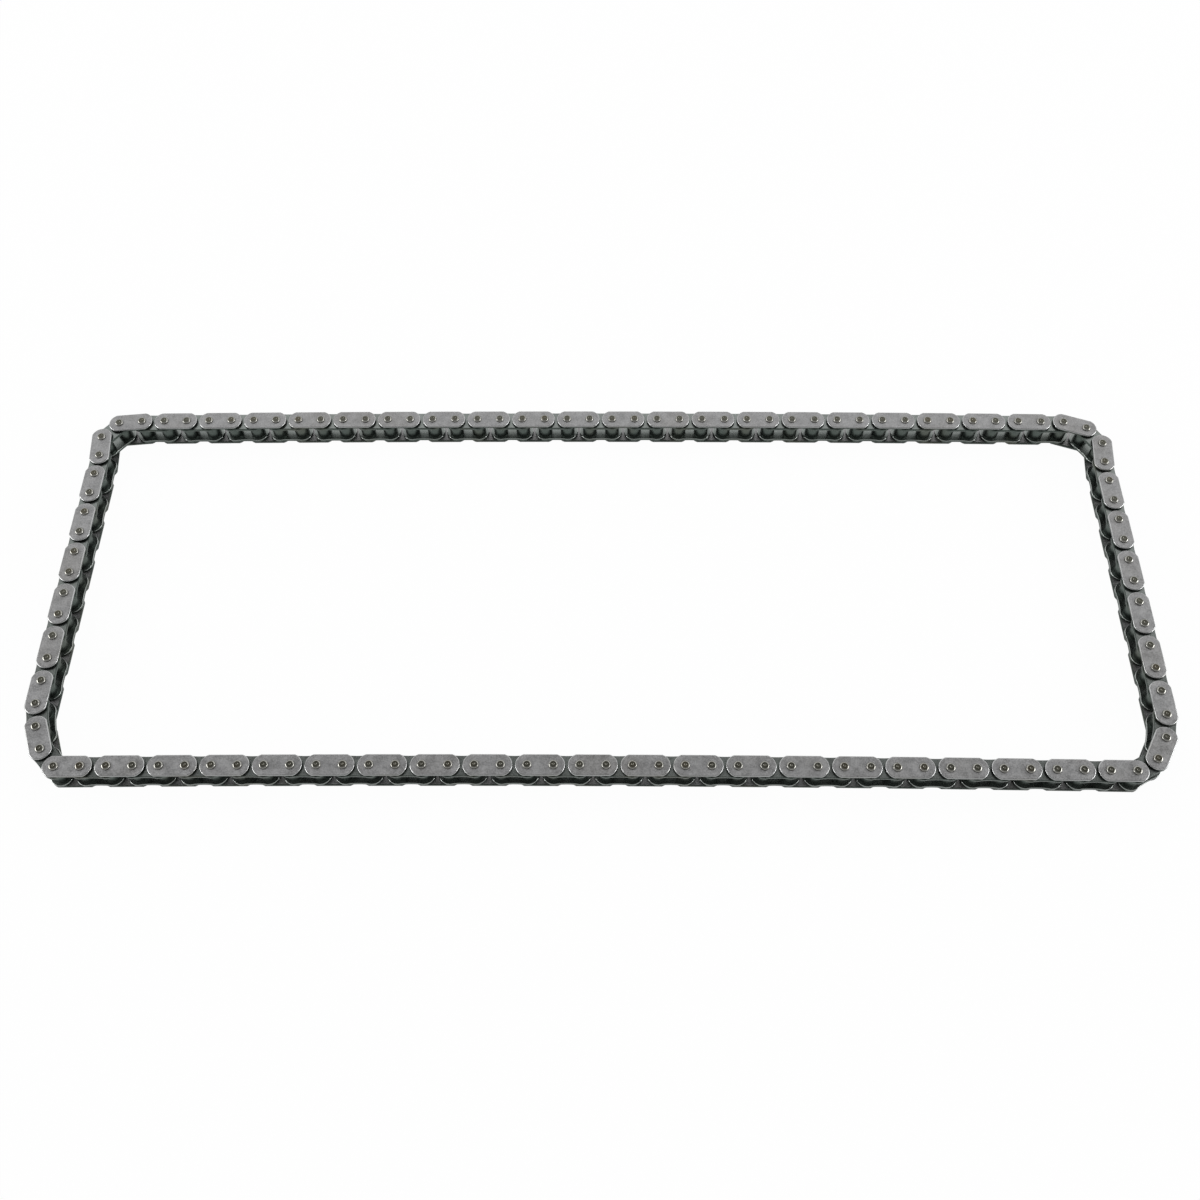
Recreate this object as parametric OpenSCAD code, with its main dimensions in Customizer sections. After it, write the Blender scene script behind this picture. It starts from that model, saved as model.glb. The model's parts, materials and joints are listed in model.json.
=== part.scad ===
// Single strand bush timing chain, lying flat on its pin ends as an endless loop.
// Links alternate all the way round: an inner link is two waisted plates pressed on two bushes,
// an outer link is two flat sided plates riveted on two pins, and each pin turns inside a bush.
// Lengths are in millimetres and angles in degrees. The long runs lie along X, the pins along Z.

/* [Chain] */
// Distance from one pin to the next
pitch = 8; // [7:0.05:9.525]
// Width between the two inner plates, where the sprocket tooth goes
inner_width = 5.1; // [3:0.1:8]
// Gap between an inner plate and the outer plate beside it
side_clearance = 0.06; // [0.03:0.01:0.2]

/* [Plates] */
// Thickness of the outer plates
outer_plate_t = 1.0; // [0.6:0.05:1.6]
// Thickness of the inner plates
inner_plate_t = 1.0; // [0.6:0.05:1.6]
// Gap between the round ends of two plates that follow each other
plate_end_gap = 0.7; // [0.4:0.05:1.4]
// How far the straight sides of an outer plate are cut inside its round ends
outer_side_flat = 0.2; // [0.17:0.01:0.6]
// How far the waist of an inner plate lies inside its round ends
inner_waist_depth = 0.35; // [0.35:0.01:0.8]
// Where the waist leaves the round end, as an angle up from the line of the pins
waist_angle = 70; // [68:1:72]
// Edge bevel all round each plate
plate_bevel = 0.15; // [0.05:0.01:0.16]

/* [Pins and bushes] */
// Diameter of a pin's shank
pin_d = 2.5; // [1.8:0.05:3]
// Outer diameter of a bush, which is what the sprocket tooth meets
bush_d = 5.0; // [4.2:0.05:5.4]
// Gap all round between a pin and the bore of its bush
pin_clearance = 0.04; // [0.02:0.01:0.1]
// Bevel on the outer edge of a bush's ends
bush_bevel = 0.1; // [0.05:0.01:0.2]
// How far the riveted end of a pin spreads past its shank
rivet_rim = 0.2; // [0.1:0.01:0.4]
// How far a pin stands out of each outer plate
pin_proud = 0.6; // [0.4:0.05:1]
// Height and width of the rounded shoulder on a riveted end
rivet_shoulder = 0.45; // [0.2:0.01:0.55]
// Diameter of the centre mark in a pin's end
dimple_d = 0.8; // [0.4:0.05:1]
// Depth of the centre mark
dimple_depth = 0.2; // [0.1:0.01:0.4]

/* [Lay of the loop] */
// Links in each of the two long runs
run_links = 41; // [33:1:49]
// Links in each of the two short sides
side_links = 12; // [8:1:16]
// How much a long run turns from its left end to its right end
run_bow_angle = 1.6; // [0:0.1:4]
// Heading of the right side, which the left side runs parallel to
side_heading = -89.8; // [-94:0.1:-86]
// Headings of the three links at the back right corner
back_right_headings = [-19, -57, -96]; // [-180:1:180]
// Headings of the three links at the front right corner
front_right_headings = [-104, -120, -151]; // [-180:1:180]
// Headings of the three links at the front left corner
front_left_headings = [134, 112, 104]; // [-180:1:180]
// Headings of the three links at the back left corner
back_left_headings = [96, 51, 6]; // [-180:1:180]

/* [Hidden] */
$fn = 48;
// Steps in the quarter round of a rivet shoulder
shoulder_steps = 4;
// Sections that a long run is cut into, each a stiff stretch that turns on its end pins
run_sections = 4;
// How far a drill or a knife runs past the face that it cuts
past = 1;

// Plate outlines
plate_end_r = (pitch - plate_end_gap) / 2;
outer_half_height = plate_end_r - outer_side_flat;
waist_half_height = plate_end_r - inner_waist_depth;
waist_meet = plate_end_r * [cos(waist_angle), sin(waist_angle)];
waist_half_chord = pitch / 2 - waist_meet.x;
waist_rise = waist_meet.y - waist_half_height;
waist_r = (pow(waist_half_chord, 2) + pow(waist_rise, 2)) / (2 * waist_rise);

// Heights, measured from the middle of the chain
bush_half_l = inner_width / 2 + inner_plate_t;
outer_face_z = bush_half_l + side_clearance + outer_plate_t;
pin_half_l = outer_face_z + pin_proud;

// Link counts. Link j runs from pin j to pin j + 1; even links are inner ones and odd links outer ones.
corner_links = len(back_right_headings);
right_corner = run_links;
right_side = right_corner + corner_links;
front_corner = right_side + side_links;
front_run = front_corner + corner_links;
left_corner = front_run + run_links;
left_side = left_corner + corner_links;
back_corner = left_side + side_links;
link_count = back_corner + corner_links;

// The corners take up what keeps the loop from closing. Each step of closing changes the corner
// headings by the least that brings the sum of their unit vectors to zero, to first order.
closing_steps = 8;
corner_headings = close_loop(
    concat(back_right_headings, front_right_headings, front_left_headings, back_left_headings), closing_steps);
headings = [for (j = [0 : link_count - 1]) link_heading(j)];
raw_pins = [for (p = [0, 0], j = 0; j < link_count; p = p + pitch * unit(headings[j]), j = j + 1) p];
loop_centre = [for (axis = [0, 1]) let (along = [for (p = raw_pins) p[axis]]) (min(along) + max(along)) / 2];
pin_at = [for (p = raw_pins) p - loop_centre];

// Sections of the loop: name, first link and last link
sections = concat(
    [for (i = [1 : run_sections]) [str("back_run_", i), run_cut(i - 1), run_cut(i) - 1]],
    [["back_right_corner", right_corner, right_side - 1]],
    [["right_side", right_side, front_corner - 1]],
    [["front_right_corner", front_corner, front_run - 1]],
    [for (i = [1 : run_sections])
        [str("front_run_", i), left_corner - run_cut(i), left_corner - run_cut(i - 1) - 1]],
    [["front_left_corner", left_corner, left_side - 1]],
    [["left_side", left_side, back_corner - 1]],
    [["back_left_corner", back_corner, link_count - 1]]
);

piece_kinds = ["outer_plates_", "pins_", "inner_plates_", "bushes_"];

function unit(heading) = [cos(heading), sin(heading)];

function total(values, i = 0) = i == len(values) ? 0 : values[i] + total(values, i + 1);

// The pin where section i of a long run ends, counted from the run's left end
function run_cut(i) = round(run_links * i / run_sections);

// A long run is a shallow arc, so its heading falls evenly from link to link
function run_heading(k) = run_bow_angle * (0.5 - k / (run_links - 1));

function close_loop(turns, steps) = steps < 1 ? turns : close_loop(closer(turns), steps - 1);

function closer(turns) =
    let (
        s = [for (a = turns) sin(a)],
        c = [for (a = turns) cos(a)],
        miss_x = total(c),
        miss_y = total(s),
        ss = s * s,
        sc = s * c,
        cc = c * c,
        det = ss * cc - sc * sc,
        push_x = (cc * miss_x + sc * miss_y) / det,
        push_y = (sc * miss_x + ss * miss_y) / det
    )
    [for (i = [0 : len(turns) - 1]) turns[i] + (s[i] * push_x - c[i] * push_y) * 180 / PI];

// The front run lies parallel to the back run, and the left side to the right side
function link_heading(j) =
    j < right_corner ? run_heading(j)
    : j < right_side ? corner_headings[j - right_corner]
    : j < front_corner ? side_heading
    : j < front_run ? corner_headings[j - front_corner + corner_links]
    : j < left_corner ? 180 + run_heading(left_corner - 1 - j)
    : j < left_side ? corner_headings[j - left_corner + 2 * corner_links]
    : j < back_corner ? side_heading + 180
    : corner_headings[j - back_corner + 3 * corner_links];

function links_of(section, parity) = [for (j = [section[1] : section[2]]) if (j % 2 == parity) j];

// Puts a shape that is drawn from its first pin along X onto link j
module on_link(j) {
    translate([pin_at[j].x, pin_at[j].y, pin_half_l]) rotate(headings[j]) children();
}

// Draws a shape at both pins of link j
module at_both_pins(j) {
    on_link(j) {
        children();
        translate([pitch, 0, 0]) children();
    }
}

// Draws a plate on both sides of the chain, with its inner face at the height given
module on_both_sides(face_z, thickness) {
    translate([0, 0, face_z]) children();
    translate([0, 0, -face_z - thickness]) children();
}

// A disc with both edges bevelled
module bevelled_disc(r, thickness, bevel) {
    rotate_extrude()
        polygon([[0, 0], [r - bevel, 0], [r, bevel], [r, thickness - bevel], [r - bevel, thickness], [0, thickness]]);
}

module plate_ends(thickness) {
    bevelled_disc(plate_end_r, thickness, plate_bevel);
    translate([pitch, 0, 0]) bevelled_disc(plate_end_r, thickness, plate_bevel);
}

module plate_holes(d, thickness) {
    for (x = [0, pitch])
        translate([x, 0, -past]) cylinder(d = d, h = thickness + 2 * past);
}

// A flat bar between the pins
module plate_bar(half_height, thickness) {
    translate([0, -half_height, 0]) cube([pitch, 2 * half_height, thickness]);
}

// A bar along X, wider than a plate is long, whose four long edges are bevelled
module side_trim(half_height, thickness, bevel) {
    length = pitch + 2 * plate_end_r + 2 * past;
    translate([-plate_end_r - past, 0, 0]) rotate([90, 0, 90]) linear_extrude(length)
        polygon([
            [bevel - half_height, 0], [half_height - bevel, 0],
            [half_height, bevel], [half_height, thickness - bevel],
            [half_height - bevel, thickness], [bevel - half_height, thickness],
            [-half_height, thickness - bevel], [-half_height, bevel]
        ]);
}

// The round knife that cuts one side of the waist, and leaves a bevel at both faces
module waist_knife(thickness, bevel) {
    rotate_extrude($fn = 180)
        polygon([
            [0, -past], [waist_r + bevel + past, -past], [waist_r, bevel],
            [waist_r, thickness - bevel], [waist_r + bevel + past, thickness + past], [0, thickness + past]
        ]);
}

// Outer plate: round about both pins, with its sides cut straight
module outer_plate() {
    bar_half_height = (outer_half_height + plate_end_r - plate_bevel) / 2;
    difference() {
        intersection() {
            union() {
                plate_ends(outer_plate_t);
                plate_bar(bar_half_height, outer_plate_t);
            }
            side_trim(outer_half_height, outer_plate_t, plate_bevel);
        }
        plate_holes(pin_d, outer_plate_t);
    }
}

// Inner plate: round about both bushes, with a hollow waist between them
module inner_plate() {
    bar_half_height = (waist_meet.y + plate_end_r - plate_bevel) / 2;
    knife_y = waist_half_height + waist_r;
    difference() {
        union() {
            plate_ends(inner_plate_t);
            difference() {
                plate_bar(bar_half_height, inner_plate_t);
                for (side = [-1, 1])
                    translate([pitch / 2, side * knife_y, 0]) waist_knife(inner_plate_t, plate_bevel);
            }
        }
        plate_holes(bush_d, inner_plate_t);
    }
}

// Pin: a plain shank, riveted over the face of the plate at both ends
module pin() {
    shank_r = pin_d / 2;
    rim_r = shank_r + rivet_rim;
    shoulder_r = min(rivet_shoulder, pin_proud);
    crown_r = rim_r - shoulder_r;
    shoulder = [for (i = [0 : shoulder_steps]) let (a = 90 * i / shoulder_steps)
        [crown_r + shoulder_r * cos(a), pin_half_l - shoulder_r * (1 - sin(a))]];
    upper_end = concat(
        [[shank_r, outer_face_z], [rim_r, outer_face_z]],
        shoulder,
        [[dimple_d / 2, pin_half_l], [0, pin_half_l - dimple_depth]]
    );
    lower_end = [for (i = [len(upper_end) - 1 : -1 : 0]) [upper_end[i].x, -upper_end[i].y]];
    rotate_extrude() polygon(concat(lower_end, upper_end));
}

// Bush: a tube that ends flush with the outer faces of the inner plates
module bush() {
    bore_r = pin_d / 2 + pin_clearance;
    outer_r = bush_d / 2;
    rotate_extrude()
        polygon([
            [bore_r, -bush_half_l], [outer_r - bush_bevel, -bush_half_l],
            [outer_r, bush_bevel - bush_half_l], [outer_r, bush_half_l - bush_bevel],
            [outer_r - bush_bevel, bush_half_l], [bore_r, bush_half_l]
        ]);
}

module outer_plates(section) {
    color([0.58, 0.575, 0.585])
        for (j = links_of(section, 1))
            on_link(j) on_both_sides(bush_half_l + side_clearance, outer_plate_t) outer_plate();
}

module pins(section) {
    color([0.46, 0.45, 0.4])
        for (j = links_of(section, 1))
            at_both_pins(j) pin();
}

module inner_plates(section) {
    color([0.36, 0.38, 0.36])
        for (j = links_of(section, 0))
            on_link(j) on_both_sides(inner_width / 2, inner_plate_t) inner_plate();
}

module bushes(section) {
    color([0.42, 0.43, 0.41])
        for (j = links_of(section, 0))
            at_both_pins(j) bush();
}

for (section = sections) {
    outer_plates(section);
    pins(section);
    inner_plates(section);
    bushes(section);
}
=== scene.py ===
"""Looks of an endless bush timing chain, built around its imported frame.

Every link is found in the frame: a plate's outline gives its place, and the two pin or bush axes
nearest to its middle give its heading. Each kind of piece is modelled once with bmesh operators and
then copied to its links, section by section, so that it rides on the body that carries it.
Lengths are in metres, as in the frame.
"""

import json
import logging
import math
from dataclasses import dataclass, field
from enum import Enum

import bmesh
import bpy
from mathutils import Matrix, Vector

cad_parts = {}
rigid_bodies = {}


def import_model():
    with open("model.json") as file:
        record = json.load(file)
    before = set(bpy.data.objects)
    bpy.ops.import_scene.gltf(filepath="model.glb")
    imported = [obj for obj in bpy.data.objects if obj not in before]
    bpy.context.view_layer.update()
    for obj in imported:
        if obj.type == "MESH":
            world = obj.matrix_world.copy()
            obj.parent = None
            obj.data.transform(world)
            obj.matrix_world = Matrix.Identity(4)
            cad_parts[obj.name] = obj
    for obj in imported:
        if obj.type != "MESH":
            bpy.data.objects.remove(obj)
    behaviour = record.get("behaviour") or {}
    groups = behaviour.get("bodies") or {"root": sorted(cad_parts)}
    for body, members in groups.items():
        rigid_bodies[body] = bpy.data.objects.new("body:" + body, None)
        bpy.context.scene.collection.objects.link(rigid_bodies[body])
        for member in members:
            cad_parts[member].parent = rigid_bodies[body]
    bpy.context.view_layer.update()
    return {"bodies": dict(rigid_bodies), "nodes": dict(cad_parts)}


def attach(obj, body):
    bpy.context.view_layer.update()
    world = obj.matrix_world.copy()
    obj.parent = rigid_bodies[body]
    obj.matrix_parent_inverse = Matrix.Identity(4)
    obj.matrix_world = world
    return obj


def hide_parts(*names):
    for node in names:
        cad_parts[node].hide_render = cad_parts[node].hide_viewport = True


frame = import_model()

MM = 0.001
SAME_POINT = 1e-6
WHITE = (1.0, 1.0, 1.0, 1.0)

# Where a face counts as level or upright, by the height of its normal.
LEVEL_NORMAL = 0.98
UPRIGHT_NORMAL = 0.02

# An edge between two faces of one region is shaded sharp from this angle.
SHARP_ANGLE = math.radians(50)

log = logging.getLogger("timing_chain")


class Kind(Enum):
    """Kinds of piece that a section of the chain holds, by the start of their node's name."""

    OUTER_PLATES = "outer_plates"
    PINS = "pins"
    INNER_PLATES = "inner_plates"
    BUSHES = "bushes"

    def node(self, body: str) -> str:
        """Names the node that holds this kind in a section."""
        return f"{self.value}_{body}"


class Region(Enum):
    """Regions of a piece that have a finish of their own, by material index."""

    FACE = 0
    # A rolled edge that faces the lamps gets a lighter colour, partly a painted highlight; cut sides,
    # the other rolled edge and bush walls get a dark one, partly painted shade.
    ROLLED_EDGE = 1
    CUT_AND_SHADED_SIDE = 2
    CENTRE_MARK = 3


class ShaderGraph:
    """A node tree with short calls for adding nodes and joining them."""

    def __init__(self, tree: bpy.types.NodeTree) -> None:
        """Wraps a node tree.

        Args:
            tree: The node tree of a material, a world or a node group.
        """
        self.tree = tree

    def add(self, kind: str, settings: dict | None = None, **inputs: object) -> bpy.types.Node:
        """Adds a node.

        Args:
            kind: The node's type, such as "ShaderNodeMath".
            settings: The node's own properties.
            **inputs: A value or an output socket for an input, by its name with _ for each space,
                or by its place as in_0, in_1 and so on.

        Returns:
            The new node.
        """
        node = self.tree.nodes.new(kind)
        for name, value in (settings or {}).items():
            setattr(node, name, value)
        for name, value in inputs.items():
            place = name.removeprefix("in_")
            key = int(place) if place.isdigit() else name.replace("_", " ")
            self.feed(node.inputs[key], value)
        return node

    def feed(self, socket: bpy.types.NodeSocket, value: object) -> None:
        """Sets an input to a value, or joins it to an output socket.

        Args:
            socket: The input.
            value: A number, a colour, a vector or an output socket.
        """
        if isinstance(value, bpy.types.NodeSocket):
            self.tree.links.new(value, socket)
        else:
            socket.default_value = value

    def math(self, operation: str, first: object, second: object) -> bpy.types.NodeSocket:
        """Adds a Math node.

        Args:
            operation: The node's operation, such as "MULTIPLY".
            first: The first value or socket.
            second: The second value or socket.

        Returns:
            The result's socket.
        """
        settings = {"operation": operation}
        return self.add("ShaderNodeMath", settings, in_0=first, in_1=second).outputs[0]

    def mix_color(self, share: object, first: object, second: object) -> bpy.types.NodeSocket:
        """Mixes two colours, through the colour sockets of a Mix node: inputs 6 and 7, output 2.

        Args:
            share: How much of the second colour there is, from 0 to 1.
            first: The first colour.
            second: The second colour.

        Returns:
            The mixed colour's socket.
        """
        settings = {"data_type": "RGBA"}
        return self.add("ShaderNodeMix", settings, in_0=share, in_6=first, in_7=second).outputs[2]

    def to_unit(self, value: object, low: float, high: float) -> bpy.types.NodeSocket:
        """Carries a value from a range to the range 0 to 1, and clamps it there.

        Args:
            value: The value.
            low: What becomes 0.
            high: What becomes 1.

        Returns:
            The result's socket.
        """
        return self.add("ShaderNodeMapRange", in_0=value, in_1=low, in_2=high).outputs[0]

    def from_unit(self, value: object, low: object, high: object) -> bpy.types.NodeSocket:
        """Carries a value from the range 0 to 1 to another range.

        Args:
            value: The value from 0 to 1.
            low: What 0 becomes.
            high: What 1 becomes.

        Returns:
            The result's socket.
        """
        return self.add("ShaderNodeMapRange", in_0=value, in_3=low, in_4=high).outputs[0]


def new_material(name: str) -> tuple[bpy.types.Material, ShaderGraph]:
    """Makes a material with an empty node tree.

    Args:
        name: The material's name.

    Returns:
        The material and its graph.
    """
    material = bpy.data.materials.new(name)
    material.use_nodes = True
    material.node_tree.nodes.clear()
    return material, ShaderGraph(material.node_tree)


def new_group(name: str, inputs: dict[str, str], outputs: dict[str, str]) -> ShaderGraph:
    """Makes an empty shader node group with named sockets.

    Args:
        name: The group's name.
        inputs: Socket type by input name.
        outputs: Socket type by output name.

    Returns:
        The group's graph.
    """
    tree = bpy.data.node_groups.new(name, "ShaderNodeTree")
    for direction, sockets in (("INPUT", inputs), ("OUTPUT", outputs)):
        for socket_name, socket_type in sockets.items():
            tree.interface.new_socket(name=socket_name, in_out=direction, socket_type=socket_type)
    return ShaderGraph(tree)


@dataclass(frozen=True)
class SteelGrain:
    """Node group for the grain that tumbling and hardening leave on small steel parts.

    Attributes:
        fine_detail: Detail of the fine grain.
        broad_scale: Scale of the broad mottle, as a share of the grain's.
        broad_detail: Detail of the broad mottle.
        stain_scale: Scale of the stain, which varies from link to link, as a share of the grain's.
        stain_detail: Detail of the stain.
        fine_share: Share of the fine grain in the tone.
        broad_share: Share of the broad mottle in the tone.
        tone_range: Noise levels between which the tone goes from darkest to lightest.
        stain_range: Noise levels between which the stain goes from none to full.
        relief: Height of the grain's relief.
    """

    fine_detail: float = 3.0
    broad_scale: float = 0.12
    broad_detail: float = 2.0
    stain_scale: float = 0.02
    stain_detail: float = 1.0
    fine_share: float = 0.6
    broad_share: float = 0.4
    tone_range: tuple[float, float] = (0.36, 0.64)
    stain_range: tuple[float, float] = (0.5, 0.72)
    relief: float = 0.02 * MM

    def build(self) -> bpy.types.NodeTree:
        """Builds the group: a colour, a roughness and a normal that vary over the surface.

        Returns:
            The node group.
        """
        graph = self._empty_group()
        given = graph.add("NodeGroupInput").outputs
        place = graph.add("ShaderNodeTexCoord").outputs["Object"]
        settings = {"operation": "MULTIPLY"}
        squeezed = graph.add("ShaderNodeVectorMath", settings, in_0=place, in_1=given["Stretch"])
        scale = given["Grain Scale"]
        fine = self._noise(graph, squeezed.outputs[0], scale, self.fine_detail)
        broad_scale = graph.math("MULTIPLY", scale, self.broad_scale)
        broad = self._noise(graph, place, broad_scale, self.broad_detail)
        stain_scale = graph.math("MULTIPLY", scale, self.stain_scale)
        stain = self._noise(graph, place, stain_scale, self.stain_detail)

        fine_part = graph.math("MULTIPLY", fine, self.fine_share)
        broad_part = graph.math("MULTIPLY", broad, self.broad_share)
        tone = graph.to_unit(graph.math("ADD", fine_part, broad_part), *self.tone_range)
        darkest = graph.math("SUBTRACT", 1.0, given["Mottle"])
        lightest = graph.math("ADD", 1.0, given["Mottle"])
        level = graph.from_unit(tone, darkest, lightest)
        settings = {"operation": "SCALE"}
        mottled = graph.add("ShaderNodeVectorMath", settings, in_0=given["Color"], Scale=level)

        stained = graph.to_unit(stain, *self.stain_range)
        stain_share = graph.math("MULTIPLY", stained, given["Stain Amount"])
        color = graph.mix_color(stain_share, mottled.outputs[0], given["Stain"])

        roughness = graph.from_unit(tone, given["Roughness Low"], given["Roughness High"])
        bump = graph.add("ShaderNodeBump", Strength=given["Bump"], Distance=self.relief, Height=fine)
        graph.add("NodeGroupOutput", Color=color, Roughness=roughness, Normal=bump.outputs[0])
        return graph.tree

    def _empty_group(self) -> ShaderGraph:
        """Makes the group with its named inputs and outputs.

        Returns:
            The group's graph, still empty.
        """
        number = "NodeSocketFloat"
        color = "NodeSocketColor"
        vector = "NodeSocketVector"
        return new_group(
            "steel_grain",
            inputs={
                "Color": color,
                "Stain": color,
                "Stain Amount": number,
                "Mottle": number,
                "Grain Scale": number,
                "Stretch": vector,
                "Roughness Low": number,
                "Roughness High": number,
                "Bump": number,
            },
            outputs={"Color": color, "Roughness": number, "Normal": vector},
        )

    def _noise(
        self,
        graph: ShaderGraph,
        place: bpy.types.NodeSocket,
        scale: bpy.types.NodeSocket,
        detail: float,
    ) -> bpy.types.NodeSocket:
        """Adds a noise texture.

        Args:
            graph: The group's graph.
            place: The coordinates that it reads.
            scale: Its scale, in features to the metre.
            detail: Its detail.

        Returns:
            The noise value's socket.
        """
        return graph.add("ShaderNodeTexNoise", Vector=place, Scale=scale, Detail=detail).outputs[0]


@dataclass(frozen=True)
class SteelFinish:
    """Finish of one region of the chain's steel pieces.

    Attributes:
        name: The material's name.
        color: Base colour, linear.
        roughness: Lowest and highest roughness.
        mottle: How much the colour varies, as a share.
        grain: Grain features to the millimetre.
        bump: Strength of the grain's relief.
        stain: Colour of the oil and heat stain.
        stain_amount: Share of the stain where it is strongest.
        stretch: How the grain is squeezed along each axis.
        oil: Weight of the thin coat of oil.
        oil_roughness: Roughness of the coat of oil.
    """

    name: str
    color: tuple[float, float, float]
    roughness: tuple[float, float]
    mottle: float = 0.12
    grain: float = 4.0
    bump: float = 0.25
    stain: tuple[float, float, float] = (0.16, 0.13, 0.08)
    stain_amount: float = 0.15
    stretch: tuple[float, float, float] = (1.0, 1.0, 1.0)
    oil: float = 0.0
    oil_roughness: float = 0.12

    def material(self, grain_group: bpy.types.NodeTree) -> bpy.types.Material:
        """Builds the material.

        Args:
            grain_group: The shared steel grain group.

        Returns:
            The material.
        """
        material, graph = new_material(self.name)
        grain = graph.add(
            "ShaderNodeGroup",
            {"node_tree": grain_group},
            Color=(*self.color, 1.0),
            Stain=(*self.stain, 1.0),
            Stain_Amount=self.stain_amount,
            Mottle=self.mottle,
            Grain_Scale=self.grain / MM,
            Stretch=self.stretch,
            Roughness_Low=self.roughness[0],
            Roughness_High=self.roughness[1],
            Bump=self.bump,
        )
        shader = graph.add(
            "ShaderNodeBsdfPrincipled",
            Base_Color=grain.outputs["Color"],
            Metallic=1.0,
            Roughness=grain.outputs["Roughness"],
            Normal=grain.outputs["Normal"],
            Coat_Weight=self.oil,
            Coat_Roughness=self.oil_roughness,
        )
        graph.add("ShaderNodeOutputMaterial", Surface=shader.outputs[0])
        return material


# Outer plates: grey tumbled steel; lighter rolled edge with painted highlight, dark sides with painted
# shade.
TUMBLED_FACE = SteelFinish(
    "tumbled_plate_face",
    color=(0.315, 0.315, 0.317),
    roughness=(0.42, 0.58),
    mottle=0.3,
    grain=2.6,
    bump=0.6,
    stain_amount=0.1,
)
# Lighter than the face: partly polish, partly a painted highlight on the edge that faces the lamps.
ROLLED_EDGE = SteelFinish(
    "rolled_plate_edge_and_highlight",
    color=(0.42, 0.424, 0.424),
    roughness=(0.16, 0.24),
    mottle=0.08,
)
# Dark: partly the sheared finish, partly painted shade for the dark surroundings that these faces
# reflect.
CUT_AND_SHADED_SIDE = SteelFinish(
    "cut_plate_side_and_shade",
    color=(0.049, 0.06, 0.053),
    roughness=(0.3, 0.45),
    stretch=(1.0, 1.0, 0.2),
)

# Inner plates: the same forms in a darker steel, with a painted highlight on the lower plates' rims
# and painted shade on the upper plates' rims and the sides.
DARK_FACE = SteelFinish(
    "inner_plate_face",
    color=(0.187, 0.203, 0.194),
    roughness=(0.22, 0.34),
    mottle=0.25,
    grain=2.6,
    bump=0.5,
    stain_amount=0.05,
)
# Lighter than the face: partly polish, partly a painted highlight on the rims of the lower plates.
INNER_EDGE_AND_HIGHLIGHT = SteelFinish("inner_plate_edge_and_highlight", color=(0.355, 0.378, 0.363), roughness=(0.12, 0.2))
# Dark: painted shade on the upper plates' rims under the outer plates, and on the sides.
INNER_SIDE_AND_SHADE = SteelFinish(
    "inner_plate_side_and_shade",
    color=(0.06, 0.074, 0.066),
    roughness=(0.28, 0.4),
    stretch=(1.0, 1.0, 0.2),
)

# Pins: hardened steel with an olive tint and polished riveted shoulders.
PIN_CROWN = SteelFinish(
    "pin_crown",
    color=(0.075, 0.074, 0.06),
    roughness=(0.26, 0.38),
    stain=(0.1, 0.075, 0.04),
    stain_amount=0.4,
)
PIN_SHOULDER = SteelFinish(
    "pin_shoulder",
    color=(0.33, 0.326, 0.302),
    roughness=(0.1, 0.16),
    mottle=0.06,
)
PIN_SIDE = SteelFinish("pin_side", color=(0.1, 0.096, 0.08), roughness=(0.24, 0.34))
PIN_MARK = SteelFinish("pin_centre_mark", color=(0.15, 0.147, 0.125), roughness=(0.26, 0.36))

# Bushes: dark steel with a little oil; the near black of the wall is partly painted shade for the
# shaded floor and plates it reflects.
BUSH_WALL_AND_SHADE = SteelFinish(
    "bush_wall_and_shade",
    color=(0.08, 0.098, 0.088),
    roughness=(0.36, 0.48),
    stretch=(0.2, 0.2, 3.0),
    oil=0.05,
)
BUSH_END = SteelFinish("bush_end", color=(0.195, 0.215, 0.202), roughness=(0.25, 0.35))


@dataclass(frozen=True)
class Seat:
    """Where a piece sits on its link.

    Attributes:
        height: Height of the piece's own zero.
        along: Distance from the link's first axis.
        turned_over: Whether the piece lies upside down.
    """

    height: float
    along: float = 0.0
    turned_over: bool = False


@dataclass(frozen=True)
class LinkPlace:
    """Where a link lies at rest.

    Attributes:
        start: Axis of the link's first pin or bush, at height zero.
        heading: Heading of the link in radians, counted from +X.
    """

    start: Vector
    heading: float

    def matrix(self, seat: Seat) -> Matrix:
        """Gives the placement of a shape that is drawn from the first axis along +X.

        Args:
            seat: The shape's seat on a link.

        Returns:
            The placement matrix.
        """
        lift = Matrix.Translation((self.start.x, self.start.y, seat.height))
        along = Matrix.Translation((seat.along, 0.0, 0.0))
        over = Matrix.Rotation(math.pi if seat.turned_over else 0.0, 4, "X")
        return lift @ Matrix.Rotation(self.heading, 4, "Z") @ along @ over


@dataclass(frozen=True)
class Island:
    """One solid of a CAD node, by its box.

    Attributes:
        low: Lowest corner.
        high: Highest corner.
        points: Its corners.
    """

    low: Vector
    high: Vector
    points: tuple[Vector, ...]

    @property
    def axis(self) -> Vector:
        """The middle of the box in plan: the axis of a pin or bush, or the middle of a plate."""
        middle = (self.low + self.high) / 2
        return Vector((middle.x, middle.y, 0.0))

    @property
    def height(self) -> float:
        """Height of the box."""
        return self.high.z - self.low.z


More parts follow.
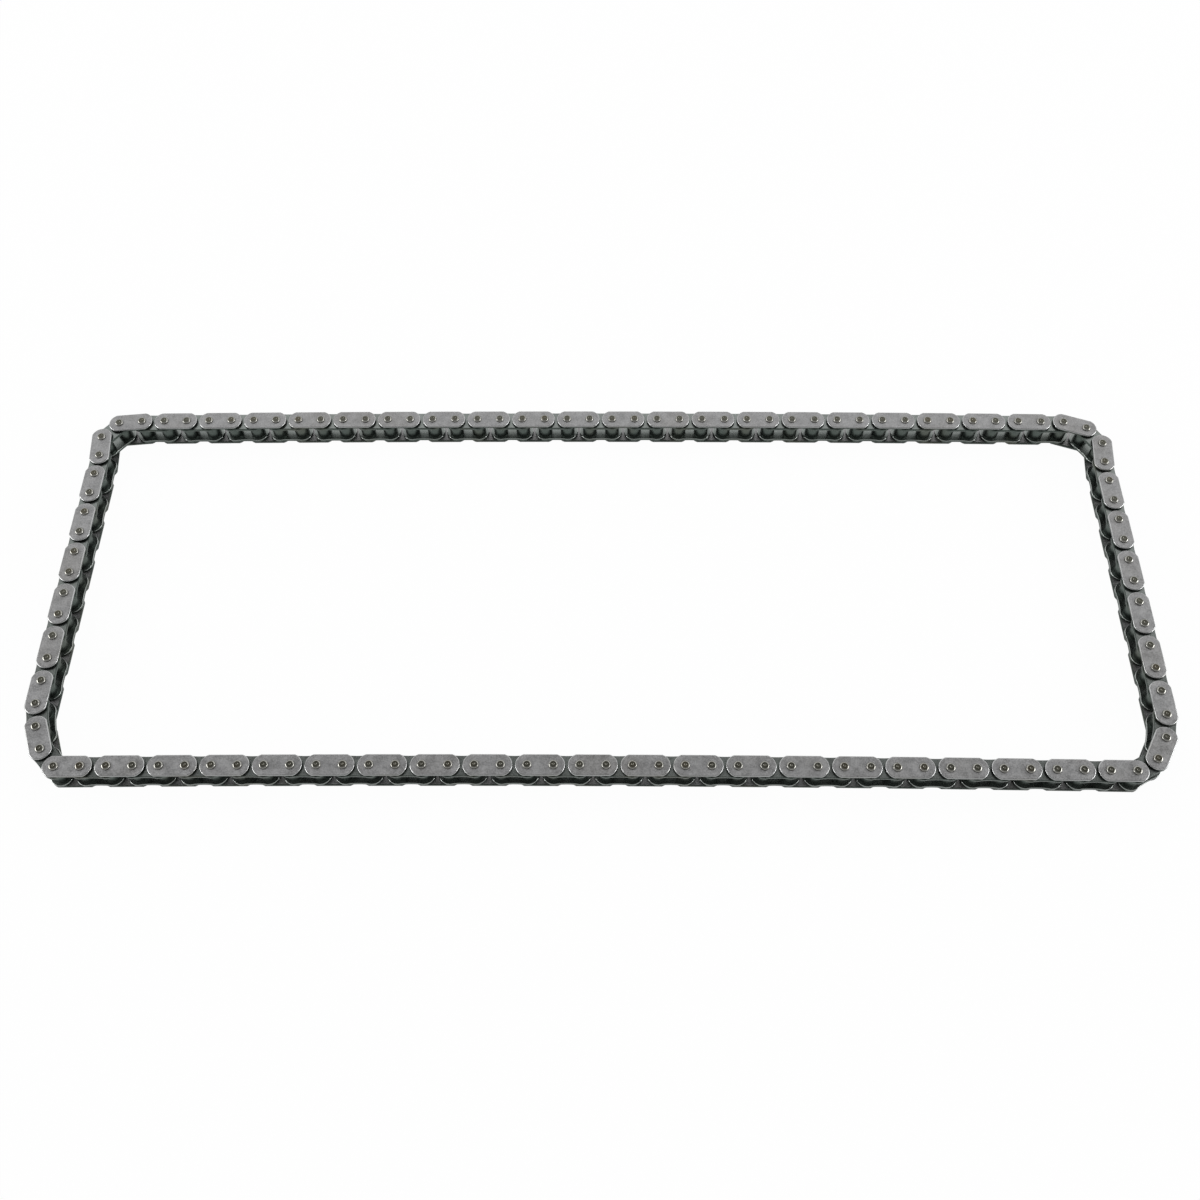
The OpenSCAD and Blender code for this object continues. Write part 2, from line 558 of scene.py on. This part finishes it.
def islands(kind: Kind, body: str) -> list[Island]:
    """Finds the separate solids of a section's node, in the order of the node's mesh.

    Args:
        kind: Kind of piece.
        body: The section's body.

    Returns:
        One island for each solid.
    """
    mesh = bmesh.new()
    mesh.from_mesh(frame["nodes"][kind.node(body)].data)
    bmesh.ops.remove_doubles(mesh, verts=mesh.verts, dist=SAME_POINT)
    left = set(mesh.verts)
    found = []
    for seed in mesh.verts:
        if seed not in left:
            continue
        left.remove(seed)
        reached = [seed]
        for vertex in reached:
            for edge in vertex.link_edges:
                other = edge.other_vert(vertex)
                if other in left:
                    left.remove(other)
                    reached.append(other)
        points = tuple(v.co.copy() for v in reached)
        low = Vector([min(p[i] for p in points) for i in range(3)])
        high = Vector([max(p[i] for p in points) for i in range(3)])
        found.append(Island(low, high, points))
    mesh.free()
    return found


def held_axes(plate: Island, axles: list[Island]) -> list[Vector]:
    """Finds the axes of the two pins or bushes that a plate holds.

    Args:
        plate: The plate.
        axles: The pins or bushes of its section.

    Returns:
        The two axes, nearest first.
    """
    near = sorted(axles, key=lambda axle: (axle.axis - plate.axis).length)
    return [axle.axis for axle in near[:2]]


def link_places(plates: list[Island], axles: list[Island]) -> list[LinkPlace]:
    """Finds where each link of a section lies, from its upper plate.

    Args:
        plates: The plates of the section's links, two to a link.
        axles: The pins or bushes that the plates hold.

    Returns:
        The places of the links.
    """
    # Two axes whose x agrees to a tenth of a millimetre are put in order by their y.
    same_x_digits = 4
    middle_height = sum(p.low.z + p.high.z for p in plates) / (2 * len(plates))
    places = []
    for plate in plates:
        if plate.low.z > middle_height:
            axes = held_axes(plate, axles)
            first, second = sorted(axes, key=lambda axis: (round(axis.x, same_x_digits), axis.y))
            along = second - first
            places.append(LinkPlace(first, math.atan2(along.y, along.x)))
    return places


def as_mesh(name: str, form: bmesh.types.BMesh) -> bpy.types.Mesh:
    """Turns a form into a mesh.

    Args:
        name: The mesh's name.
        form: The form, which is freed.

    Returns:
        The mesh.
    """
    data = bpy.data.meshes.new(name)
    form.to_mesh(data)
    form.free()
    return data


def shade(mesh: bmesh.types.BMesh) -> None:
    """Shades a form smooth, with its faces flat and its sharp corners kept.

    Args:
        mesh: The form, with its regions marked.
    """
    for face in mesh.faces:
        face.smooth = face.material_index != Region.FACE.value
    for edge in mesh.edges:
        same = len({face.material_index for face in edge.link_faces}) == 1
        if same and edge.calc_face_angle(0.0) > SHARP_ANGLE:
            edge.smooth = False


def spin_vertex(
    mesh: bmesh.types.BMesh,
    start: bmesh.types.BMVert,
    centre: tuple[float, float],
    turn: float,
    steps: int,
) -> bmesh.types.BMVert:
    """Spins a vertex into a level arc.

    Args:
        mesh: The form.
        start: The vertex that the arc starts at.
        centre: The arc's centre in plan.
        turn: The arc's angle in radians, anticlockwise.
        steps: Segments in the arc.

    Returns:
        The arc's last vertex.
    """
    spun = bmesh.ops.spin(
        mesh,
        geom=[start],
        cent=(*centre, 0.0),
        axis=(0.0, 0.0, 1.0),
        angle=turn,
        steps=steps,
        use_merge=False,
        use_duplicate=False,
    )
    return next(item for item in spun["geom_last"] if isinstance(item, bmesh.types.BMVert))


@dataclass(kw_only=True)
class PlateForm:
    """Outline and edges shared by both kinds of link plate.

    Attributes:
        pitch: Distance between the plate's two holes.
        thickness: Thickness of the plate.
        end_radius: Radius of the round ends.
        hole_radius: Radius of the holes.
        edge_radius: Radius of the rolled edge.
        end_steps: Segments in a round end.
        hole_steps: Segments in a hole.
        edge_steps: Segments across the rolled edge.
        painted_highlight_side: Side whose rolled edge gets a painted highlight, 1 for the upper and -1
            for the lower; the edge on the other side gets painted shade.
        corner_angle: Angle from which an edge of the raised outline is rolled.
        hole_margin: How far from a hole's middle its own rim reaches, in radii of the hole.
        edge_lean: Height of the normal from which a slanting face belongs to the edge with the painted
            highlight.
    """

    pitch: float
    thickness: float
    end_radius: float
    hole_radius: float
    edge_radius: float = 0.26 * MM
    end_steps: int = 10
    hole_steps: int = 12
    edge_steps: int = 2
    painted_highlight_side: int = 1
    corner_angle: float = math.radians(60)
    hole_margin: float = 1.05
    edge_lean: float = 0.3

    def build(self) -> bmesh.types.BMesh:
        """Models one plate, lying on height zero with its first hole at the origin.

        Returns:
            The plate.
        """
        mesh = bmesh.new()
        self.half_outline(mesh)
        bmesh.ops.mirror(
            mesh,
            geom=mesh.verts[:] + mesh.edges[:],
            matrix=Matrix.Translation((-self.pitch / 2, 0.0, 0.0)),
            axis="X",
        )
        bmesh.ops.remove_doubles(mesh, verts=mesh.verts[:], dist=SAME_POINT)
        for x in (0.0, self.pitch):
            bmesh.ops.create_circle(
                mesh,
                cap_ends=False,
                segments=self.hole_steps,
                radius=self.hole_radius,
                matrix=Matrix.Translation((x, 0.0, 0.0)),
            )
        bmesh.ops.triangle_fill(
            mesh,
            use_beauty=True,
            use_dissolve=False,
            edges=mesh.edges[:],
            normal=(0.0, 0.0, 1.0),
        )
        raised = bmesh.ops.extrude_face_region(mesh, geom=mesh.faces[:])
        top = [item for item in raised["geom"] if isinstance(item, bmesh.types.BMVert)]
        bmesh.ops.translate(mesh, verts=top, vec=(0.0, 0.0, self.thickness))
        bmesh.ops.recalc_face_normals(mesh, faces=mesh.faces[:])
        self.roll_edges(mesh)
        self.mark_regions(mesh)
        shade(mesh)
        return mesh

    def half_outline(self, mesh: bmesh.types.BMesh) -> None:
        """Draws the outline's half about the first hole, from mid plate to mid plate.

        Args:
            mesh: The empty form that it is drawn in.
        """
        raise NotImplementedError

    def roll_edges(self, mesh: bmesh.types.BMesh) -> None:
        """Rounds the edges of the outline, on both faces, and leaves the holes sharp.

        Args:
            mesh: The plate.
        """
        clear = self.hole_radius * self.hole_margin
        rim = []
        for edge in mesh.edges:
            level = abs(edge.verts[0].co.z - edge.verts[1].co.z) < SAME_POINT
            corner = edge.calc_face_angle(0.0) > self.corner_angle
            middle = (edge.verts[0].co + edge.verts[1].co) / 2
            reach = min(math.hypot(middle.x, middle.y), math.hypot(middle.x - self.pitch, middle.y))
            if level and corner and reach > clear:
                rim.append(edge)
        bmesh.ops.bevel(
            mesh,
            geom=rim,
            offset=self.edge_radius,
            offset_type="OFFSET",
            affect="EDGES",
            segments=self.edge_steps,
            profile=0.5,
            material=-1,
        )

    def mark_regions(self, mesh: bmesh.types.BMesh) -> None:
        """Tells faces, rolled edges and cut sides apart by how they lean, with a painted highlight on
        the rolled edge of one side and painted shade on the other.

        Args:
            mesh: The plate.
        """
        mesh.normal_update()
        for face in mesh.faces:
            lean = face.normal.z
            if abs(lean) > LEVEL_NORMAL:
                face.material_index = Region.FACE.value
            # The rolled edge of one side gets the lighter colour as a painted highlight; the other
            # gets the dark side colour as painted shade.
            elif lean * self.painted_highlight_side > self.edge_lean:
                face.material_index = Region.ROLLED_EDGE.value
            else:
                face.material_index = Region.CUT_AND_SHADED_SIDE.value


@dataclass(kw_only=True)
class OuterPlate(PlateForm):
    """Outer plate: round ends, with both sides cut straight.

    Attributes:
        side_height: Distance from the line of the pins to a straight side.
    """

    side_height: float

    def half_outline(self, mesh: bmesh.types.BMesh) -> None:
        """Draws a round end between the straight sides.

        Args:
            mesh: The empty form that it is drawn in.
        """
        half_turn = math.asin(self.side_height / self.end_radius)
        corner_x = -math.cos(half_turn) * self.end_radius
        corner = mesh.verts.new((corner_x, self.side_height, 0.0))
        middle = mesh.verts.new((self.pitch / 2, self.side_height, 0.0))
        mesh.edges.new((middle, corner))
        last = spin_vertex(mesh, corner, (0.0, 0.0), 2 * half_turn, self.end_steps)
        end = mesh.verts.new((self.pitch / 2, -self.side_height, 0.0))
        mesh.edges.new((last, end))


@dataclass(kw_only=True)
class InnerPlate(PlateForm):
    """Inner plate: round ends, with a hollow waist between them.

    Its edge is narrower than an outer plate's; the edge on its lower side gets a painted highlight,
    and the one on its upper side painted shade.

    Attributes:
        waist_height: Distance from the line of the bushes to the middle of the waist.
        waist_angle: Where the waist leaves a round end, as an angle up from the line of the bushes.
        waist_steps: Segments in half a waist.
    """

    edge_radius: float = 0.15 * MM
    end_steps: int = 12
    hole_steps: int = 16
    # Turned over below the chain, a plate shows the painted highlight on its upper rim; the plate
    # above shows painted shade there, under the outer plate.
    painted_highlight_side: int = -1
    waist_height: float = 3.3 * MM
    waist_angle: float = math.radians(70)
    waist_steps: int = 3

    def half_outline(self, mesh: bmesh.types.BMesh) -> None:
        """Draws a round end and the halves of the two waists beside it.

        Args:
            mesh: The empty form that it is drawn in.
        """
        bearing = Vector((math.cos(self.waist_angle), math.sin(self.waist_angle), 0.0))
        meet = bearing * self.end_radius
        half_chord = self.pitch / 2 - meet.x
        rise = meet.y - self.waist_height
        waist_radius = (half_chord**2 + rise**2) / (2 * rise)
        waist_turn = math.asin(half_chord / waist_radius)
        end_turn = 2 * (math.pi - self.waist_angle)
        upper_centre = (self.pitch / 2, self.waist_height + waist_radius)
        lower_centre = (self.pitch / 2, -self.waist_height - waist_radius)
        start = mesh.verts.new((self.pitch / 2, self.waist_height, 0.0))
        upper = spin_vertex(mesh, start, upper_centre, -waist_turn, self.waist_steps)
        lower = spin_vertex(mesh, upper, (0.0, 0.0), end_turn, self.end_steps)
        spin_vertex(mesh, lower, lower_centre, -waist_turn, self.waist_steps)


@dataclass(kw_only=True)
class RevolvedForm:
    """A piece turned about its own axis from a profile of radius and height.

    Attributes:
        turn_steps: Segments round the axis.
    """

    turn_steps: int = 16

    def turn(self, profile: list[tuple[float, float]], closed: bool) -> bmesh.types.BMesh:
        """Turns a profile into a closed form about the origin's Z axis.

        Args:
            profile: Radius and height of each point.
            closed: Whether the last point joins the first, as in a tube.

        Returns:
            The form.
        """
        mesh = bmesh.new()
        points = [mesh.verts.new((radius, 0.0, height)) for radius, height in profile]
        pairs = list(zip(points, points[1:]))
        if closed:
            pairs.append((points[-1], points[0]))
        for first, second in pairs:
            mesh.edges.new((first, second))
        bmesh.ops.spin(
            mesh,
            geom=mesh.verts[:] + mesh.edges[:],
            cent=(0.0, 0.0, 0.0),
            axis=(0.0, 0.0, 1.0),
            angle=2 * math.pi,
            steps=self.turn_steps,
            use_merge=True,
            use_duplicate=False,
        )
        bmesh.ops.remove_doubles(mesh, verts=mesh.verts[:], dist=SAME_POINT)
        bmesh.ops.dissolve_degenerate(mesh, edges=mesh.edges[:], dist=SAME_POINT)
        bmesh.ops.recalc_face_normals(mesh, faces=mesh.faces[:])
        return mesh


@dataclass(kw_only=True)
class Pin(RevolvedForm):
    """Pin whose two ends are riveted over the outer plates.

    Attributes:
        half_length: From the pin's middle to its end.
        seat: From the pin's middle to the face of the plate that its rim seats on.
        rim_radius: Radius of the riveted rim.
        shank_radius: Radius of the shank.
        shoulder: Size of the rounded shoulder.
        dimple_radius: Radius of the centre mark.
        dimple_depth: Depth of the centre mark.
        dimple_bend: Where the centre mark's floor bends up, as shares of its radius and depth.
        shoulder_steps: Segments across the shoulder.
    """

    half_length: float
    seat: float
    rim_radius: float
    shank_radius: float = 1.25 * MM
    shoulder: float = 0.45 * MM
    dimple_radius: float = 0.4 * MM
    dimple_depth: float = 0.2 * MM
    dimple_bend: tuple[float, float] = (0.5, 0.8)
    shoulder_steps: int = 3

    @property
    def crown_radius(self) -> float:
        """Radius of the flat crown inside the shoulder."""
        return self.rim_radius - self.shoulder

    def build(self) -> bmesh.types.BMesh:
        """Models the pin with its middle at the origin.

        Returns:
            The pin.
        """
        bend_radius, bend_depth = self.dimple_bend
        upper = [
            (0.0, self.half_length - self.dimple_depth),
            (self.dimple_radius * bend_radius, self.half_length - self.dimple_depth * bend_depth),
            (self.dimple_radius, self.half_length),
        ]
        for step in range(self.shoulder_steps + 1):
            bend = math.pi / 2 * (1 - step / self.shoulder_steps)
            radius = self.crown_radius + self.shoulder * math.cos(bend)
            upper.append((radius, self.half_length - self.shoulder * (1 - math.sin(bend))))
        upper.append((self.rim_radius, self.seat))
        upper.append((self.shank_radius, self.seat))
        lower = [(radius, -height) for radius, height in reversed(upper)]
        mesh = self.turn(upper + lower, closed=False)
        self._mark_regions(mesh)
        shade(mesh)
        return mesh

    def _mark_regions(self, mesh: bmesh.types.BMesh) -> None:
        """Tells crowns, centre marks, shoulders and sides apart.

        Args:
            mesh: The pin.
        """
        mesh.normal_update()
        for face in mesh.faces:
            middle = face.calc_center_median()
            radius = math.hypot(middle.x, middle.y)
            if abs(face.normal.z) < UPRIGHT_NORMAL or abs(middle.z) <= self.seat + SAME_POINT:
                face.material_index = Region.CUT_AND_SHADED_SIDE.value
            elif radius < self.dimple_radius:
                face.material_index = Region.CENTRE_MARK.value
            elif radius < self.crown_radius:
                face.material_index = Region.FACE.value
            else:
                face.material_index = Region.ROLLED_EDGE.value


@dataclass(kw_only=True)
class Bush(RevolvedForm):
    """Bush that the inner plates are pressed on and that turns about a pin.

    Attributes:
        half_length: From the bush's middle to its end.
        outer_radius: Outer radius.
        bore_radius: Radius of the bore.
        edge: Bevel on the outer edge of its ends.
    """

    half_length: float
    outer_radius: float
    bore_radius: float = 1.29 * MM
    edge: float = 0.1 * MM

    def build(self) -> bmesh.types.BMesh:
        """Models the bush with its middle at the origin.

        Returns:
            The bush.
        """
        inset = self.outer_radius - self.edge
        shoulder_height = self.half_length - self.edge
        profile = [
            (self.bore_radius, -self.half_length),
            (inset, -self.half_length),
            (self.outer_radius, -shoulder_height),
            (self.outer_radius, shoulder_height),
            (inset, self.half_length),
            (self.bore_radius, self.half_length),
        ]
        mesh = self.turn(profile, closed=True)
        mesh.normal_update()
        # The upright wall takes the near black finish, partly painted shade; the ends take the lighter
        # one.
        for face in mesh.faces:
            upright = abs(face.normal.z) < UPRIGHT_NORMAL
            face.material_index = Region.CUT_AND_SHADED_SIDE.value if upright else Region.FACE.value
        shade(mesh)
        return mesh


@dataclass
class ChainSizes:
    """Sizes of the chain's pieces, measured on one section of the frame.

    Attributes:
        body: The section that is measured.
        pitch: Distance between the two pins of a link.
        end_radius: Radius of a plate's round ends.
        side_height: Distance from the line of the pins to an outer plate's straight side.
        outer_thickness: Thickness of an outer plate.
        inner_thickness: Thickness of an inner plate.
        middle_height: Height of the chain's middle above the floor.
        pin_half_length: From a pin's middle to its end.
        pin_seat: From a pin's middle to the outer face of an outer plate.
        pin_rim_radius: Radius of a pin's riveted rim.
        bush_half_length: From a bush's middle to its end.
        bush_radius: Outer radius of a bush.
    """

    body: str = "back_run_1"
    pitch: float = field(init=False)
    end_radius: float = field(init=False)
    side_height: float = field(init=False)
    outer_thickness: float = field(init=False)
    inner_thickness: float = field(init=False)
    middle_height: float = field(init=False)
    pin_half_length: float = field(init=False)
    pin_seat: float = field(init=False)
    pin_rim_radius: float = field(init=False)
    bush_half_length: float = field(init=False)
    bush_radius: float = field(init=False)

    def __post_init__(self) -> None:
        """Measures the section."""
        outer = islands(Kind.OUTER_PLATES, self.body)
        pins = islands(Kind.PINS, self.body)
        pin = pins[0]
        inner_plate = islands(Kind.INNER_PLATES, self.body)[0]
        bush = islands(Kind.BUSHES, self.body)[0]
        upper_plate = max(outer, key=lambda plate: plate.low.z)
        self.middle_height = (pin.low.z + pin.high.z) / 2
        self.pin_half_length = pin.height / 2
        self.pin_rim_radius = (pin.high.x - pin.low.x) / 2
        self.bush_half_length = bush.height / 2
        self.bush_radius = (bush.high.x - bush.low.x) / 2
        self.outer_thickness = outer[0].height
        self.inner_thickness = inner_plate.height
        self.pin_seat = max(plate.high.z for plate in outer) - self.middle_height
        self._measure_outline(upper_plate, pins)

    def _measure_outline(self, plate: Island, pins: list[Island]) -> None:
        """Measures the outline of an outer plate.

        Args:
            plate: The plate.
            pins: The section's pins.
        """
        first, second = held_axes(plate, pins)
        along = second - first
        self.pitch = along.length
        direction = along.normalized()
        across = Vector((-direction.y, direction.x, 0.0))
        reach = max((point - plate.axis).dot(direction) for point in plate.points)
        self.end_radius = reach - self.pitch / 2
        self.side_height = max((point - plate.axis).dot(across) for point in plate.points)


@dataclass(frozen=True)
class PieceMaker:
    """A modelled piece with its finishes, ready to be copied to its links.

    Attributes:
        kind: Kind of piece.
        slot: The record's material slot; not used.
        shape: The piece's mesh.
        seats: Where its copies sit on a link.
        materials: Its materials, by region.
    """

    kind: Kind
    slot: str
    shape: bpy.types.Mesh
    seats: tuple[Seat, ...]
    materials: tuple[bpy.types.Material, ...]

    def dress(self, body: str, places: list[LinkPlace]) -> bpy.types.Object:
        """Copies the piece to the links of a section, as one object that rides on its body.

        Args:
            body: The section's body.
            places: Where its links lie.

        Returns:
            The new object.
        """
        mesh = bmesh.new()
        for place in places:
            for seat in self.seats:
                start = len(mesh.verts)
                mesh.from_mesh(self.shape)
                mesh.verts.ensure_lookup_table()
                bmesh.ops.transform(mesh, matrix=place.matrix(seat), verts=mesh.verts[start:])
        data = as_mesh(f"{body}_{self.kind.value}", mesh)
        for material in self.materials:
            data.materials.append(material)
        piece = bpy.data.objects.new(data.name, data)
        bpy.context.scene.collection.objects.link(piece)
        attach(piece, body)
        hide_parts(self.kind.node(body))
        return piece


class ChainBuilder:
    """Builds every section of the chain from four shared pieces."""

    def __init__(self, sizes: ChainSizes) -> None:
        """Models the four pieces and their finishes.

        Args:
            sizes: The chain's sizes.
        """
        self.sizes = sizes
        self.grain = SteelGrain().build()
        self.outer = self._outer_plates()
        self.inner = self._inner_plates()
        self.pins = self._pins()
        self.bushes = self._bushes()

    def _materials(self, *finishes: SteelFinish) -> tuple[bpy.types.Material, ...]:
        """Builds the materials of some finishes.

        Args:
            *finishes: The finishes, by region.

        Returns:
            The materials, in the same order.
        """
        return tuple(finish.material(self.grain) for finish in finishes)

    def _plate_seats(self, face_height: float, thickness: float) -> tuple[Seat, Seat]:
        """Seats an upper plate and a lower plate that mirrors it.

        Args:
            face_height: From the chain's middle to a plate's outer face.
            thickness: Thickness of the plate.

        Returns:
            The two seats.
        """
        middle = self.sizes.middle_height
        return (
            Seat(middle + face_height - thickness),
            Seat(middle - face_height + thickness, turned_over=True),
        )

    def _axle_seats(self) -> tuple[Seat, Seat]:
        """Seats a pin or a bush on each of a link's two axes.

        Returns:
            The two seats.
        """
        middle = self.sizes.middle_height
        return Seat(middle), Seat(middle, along=self.sizes.pitch)

    def _outer_plates(self) -> PieceMaker:
        """Models the outer plate.

        Returns:
            The maker of the outer plates.
        """
        sizes = self.sizes
        form = OuterPlate(
            pitch=sizes.pitch,
            thickness=sizes.outer_thickness,
            end_radius=sizes.end_radius,
            hole_radius=Pin.shank_radius,
            side_height=sizes.side_height,
        )
        return PieceMaker(
            kind=Kind.OUTER_PLATES,
            slot="outer_plate_steel",
            shape=as_mesh("outer_plate", form.build()),
            seats=self._plate_seats(sizes.pin_seat, sizes.outer_thickness),
            materials=self._materials(TUMBLED_FACE, ROLLED_EDGE, CUT_AND_SHADED_SIDE),
        )

    def _inner_plates(self) -> PieceMaker:
        """Models the inner plate.

        Returns:
            The maker of the inner plates.
        """
        sizes = self.sizes
        form = InnerPlate(
            pitch=sizes.pitch,
            thickness=sizes.inner_thickness,
            end_radius=sizes.end_radius,
            hole_radius=sizes.bush_radius,
        )
        return PieceMaker(
            kind=Kind.INNER_PLATES,
            slot="inner_plate_steel",
            shape=as_mesh("inner_plate", form.build()),
            seats=self._plate_seats(sizes.bush_half_length, sizes.inner_thickness),
            materials=self._materials(DARK_FACE, INNER_EDGE_AND_HIGHLIGHT, INNER_SIDE_AND_SHADE),
        )

    def _pins(self) -> PieceMaker:
        """Models the pin.

        Returns:
            The maker of the pins.
        """
        form = Pin(
            half_length=self.sizes.pin_half_length,
            seat=self.sizes.pin_seat,
            rim_radius=self.sizes.pin_rim_radius,
        )
        return PieceMaker(
            kind=Kind.PINS,
            slot="pin_steel",
            shape=as_mesh("pin", form.build()),
            seats=self._axle_seats(),
            materials=self._materials(PIN_CROWN, PIN_SHOULDER, PIN_SIDE, PIN_MARK),
        )

    def _bushes(self) -> PieceMaker:
        """Models the bush.

        Returns:
            The maker of the bushes.
        """
        form = Bush(
            half_length=self.sizes.bush_half_length,
            outer_radius=self.sizes.bush_radius,
        )
        return PieceMaker(
            kind=Kind.BUSHES,
            slot="bush_steel",
            shape=as_mesh("bush", form.build()),
            seats=self._axle_seats(),
            # A bush has no rolled edge, so the finish of its ends stands in that place too.
            materials=self._materials(BUSH_END, BUSH_END, BUSH_WALL_AND_SHADE),
        )

    def build_section(self, body: str) -> None:
        """Builds the four pieces of one section.

        Args:
            body: The section's body.
        """
        outer_places = link_places(islands(Kind.OUTER_PLATES, body), islands(Kind.PINS, body))
        inner_places = link_places(islands(Kind.INNER_PLATES, body), islands(Kind.BUSHES, body))
        for maker, places in (
            (self.outer, outer_places),
            (self.pins, outer_places),
            (self.inner, inner_places),
            (self.bushes, inner_places),
        ):
            piece = maker.dress(body, places)
            log.info("%s: %d links, %d faces", piece.name, len(places), len(piece.data.polygons))


@dataclass(frozen=True)
class Softbox:
    """A rectangular studio lamp aimed at a point.

    Attributes:
        name: The lamp's name.
        place: Where it stands.
        target: What it is aimed at.
        size: Its width and height.
        power: Its power in watts.
    """

    name: str
    place: tuple[float, float, float]
    target: tuple[float, float, float]
    size: tuple[float, float]
    power: float

    def light(self) -> None:
        """Adds the lamp to the scene."""
        data = bpy.data.lights.new(self.name, "AREA")
        data.shape = "RECTANGLE"
        data.size, data.size_y = self.size
        data.energy = self.power
        lamp = bpy.data.objects.new(self.name, data)
        aim = Vector(self.target) - Vector(self.place)
        lamp.location = self.place
        lamp.rotation_euler = aim.to_track_quat("-Z", "Y").to_euler()
        bpy.context.scene.collection.objects.link(lamp)


# One wide lamp behind the chain, and one on each side for the bright arcs at the plates' ends.
LAMPS = (
    Softbox(
        "overhead_softbox",
        place=(0.12, 0.77, 0.76),
        target=(0.12, 0.0, 0.0),
        size=(2.6, 0.75),
        power=5.8,
    ),
    Softbox(
        "left_softbox",
        place=(-1.4, -0.09, 0.6),
        target=(0.0, 0.0, 0.0),
        size=(1.1, 0.45),
        power=9.5,
    ),
    Softbox(
        "right_softbox",
        place=(1.4, -0.09, 0.6),
        target=(0.0, 0.0, 0.0),
        size=(1.1, 0.45),
        power=10.5,
    ),
)


@dataclass(frozen=True)
class Studio:
    """White table, soft lamps, world and camera.

    Attributes:
        floor_size: Side of the square floor.
        floor_color: Colour of the floor.
        floor_glow: Share of plain white in the floor as the camera and the steel see it.
        wall_heights: Where the white walls end and the even ceiling starts, as sines of the elevation.
        wall_level: Strength of the white walls.
        ceiling_level: Strength of the ceiling that lights the chain.
        focal_length: Focal length of the camera in millimetres.
        sensor_width: Width of the camera's sensor in millimetres.
        camera_place: Where the camera stands.
        camera_turn: The camera's turn about X, Y and Z, in degrees.
        clip_range: Nearest and farthest distance that the camera sees.
        lamps: The lamps.
    """

    floor_size: float = 6.0
    floor_color: tuple[float, float, float] = (0.86, 0.86, 0.86)
    floor_glow: float = 0.97
    wall_heights: tuple[float, float] = (0.26, 0.45)
    wall_level: float = 1.0
    ceiling_level: float = 0.34
    focal_length: float = 36.74
    sensor_width: float = 36.0
    camera_place: tuple[float, float, float] = (0.00542, -0.20631, 0.35653)
    camera_turn: tuple[float, float, float] = (29.787, 0.495, 0.450)
    clip_range: tuple[float, float] = (0.01, 20.0)
    lamps: tuple[Softbox, ...] = LAMPS

    def build(self) -> None:
        """Builds the studio."""
        self._floor()
        self._world()
        for lamp in self.lamps:
            lamp.light()
        self._camera()

    def _floor(self) -> None:
        """Lays the white floor, which keeps the chain's shadow."""
        mesh = bmesh.new()
        bmesh.ops.create_grid(mesh, x_segments=1, y_segments=1, size=self.floor_size / 2)
        floor = bpy.data.objects.new("floor", as_mesh("floor", mesh))
        floor.data.materials.append(self._floor_material())
        bpy.context.scene.collection.objects.link(floor)

    def _floor_material(self) -> bpy.types.Material:
        """Builds the floor's material: matt white, brightened to plain white where it is seen.

        Returns:
            The material.
        """
        material, graph = new_material("white_table")
        matt = graph.add("ShaderNodeBsdfDiffuse", Color=(*self.floor_color, 1.0)).outputs[0]
        white = graph.add("ShaderNodeEmission", Color=WHITE, Strength=1.0).outputs[0]
        share = graph.math("MULTIPLY", self._seen(graph), self.floor_glow)
        mixed = graph.add("ShaderNodeMixShader", in_0=share, in_1=matt, in_2=white)
        graph.add("ShaderNodeOutputMaterial", Surface=mixed.outputs[0])
        return material

    def _seen(self, graph: ShaderGraph) -> bpy.types.NodeSocket:
        """Tells rays of the camera, of reflections and through glass from those that light the scene.

        Args:
            graph: The graph of the floor's material.

        Returns:
            A socket that is 1 for a ray that sees the floor and 0 for one that lights from it.
        """
        path = graph.add("ShaderNodeLightPath").outputs
        seen = graph.math("MAXIMUM", path["Is Camera Ray"], path["Is Glossy Ray"])
        return graph.math("MAXIMUM", seen, path["Is Transmission Ray"])

    def _world(self) -> None:
        """Builds white walls under a dim ceiling, the same to the camera as to the steel."""
        world = bpy.data.worlds.new("studio_world")
        world.use_nodes = True
        world.node_tree.nodes.clear()
        graph = ShaderGraph(world.node_tree)
        direction = graph.add("ShaderNodeTexCoord").outputs["Generated"]
        height = graph.add("ShaderNodeSeparateXYZ", Vector=direction).outputs["Z"]
        wall_top, ceiling = self.wall_heights
        level = graph.add(
            "ShaderNodeMapRange",
            in_0=height,
            in_1=wall_top,
            in_2=ceiling,
            in_3=self.wall_level,
            in_4=self.ceiling_level,
        ).outputs[0]
        lit = graph.add("ShaderNodeBackground", Color=WHITE, Strength=level)
        graph.add("ShaderNodeOutputWorld", Surface=lit.outputs[0])
        bpy.context.scene.world = world

    def _camera(self) -> None:
        """Sets up the camera at the photograph's viewing angle."""
        data = bpy.data.cameras.new("camera")
        data.lens = self.focal_length
        data.sensor_width = self.sensor_width
        data.clip_start, data.clip_end = self.clip_range
        camera = bpy.data.objects.new("camera", data)
        camera.location = self.camera_place
        camera.rotation_euler = tuple(math.radians(turn) for turn in self.camera_turn)
        bpy.context.scene.collection.objects.link(camera)
        bpy.context.scene.camera = camera


def main() -> None:
    """Builds the chain and its studio."""
    logging.basicConfig(level=logging.INFO, format="%(message)s")
    bpy.context.scene.view_settings.view_transform = "Standard"
    builder = ChainBuilder(ChainSizes())
    for body in frame["bodies"]:
        builder.build_section(body)
    Studio().build()


if __name__ == "__main__":
    main()
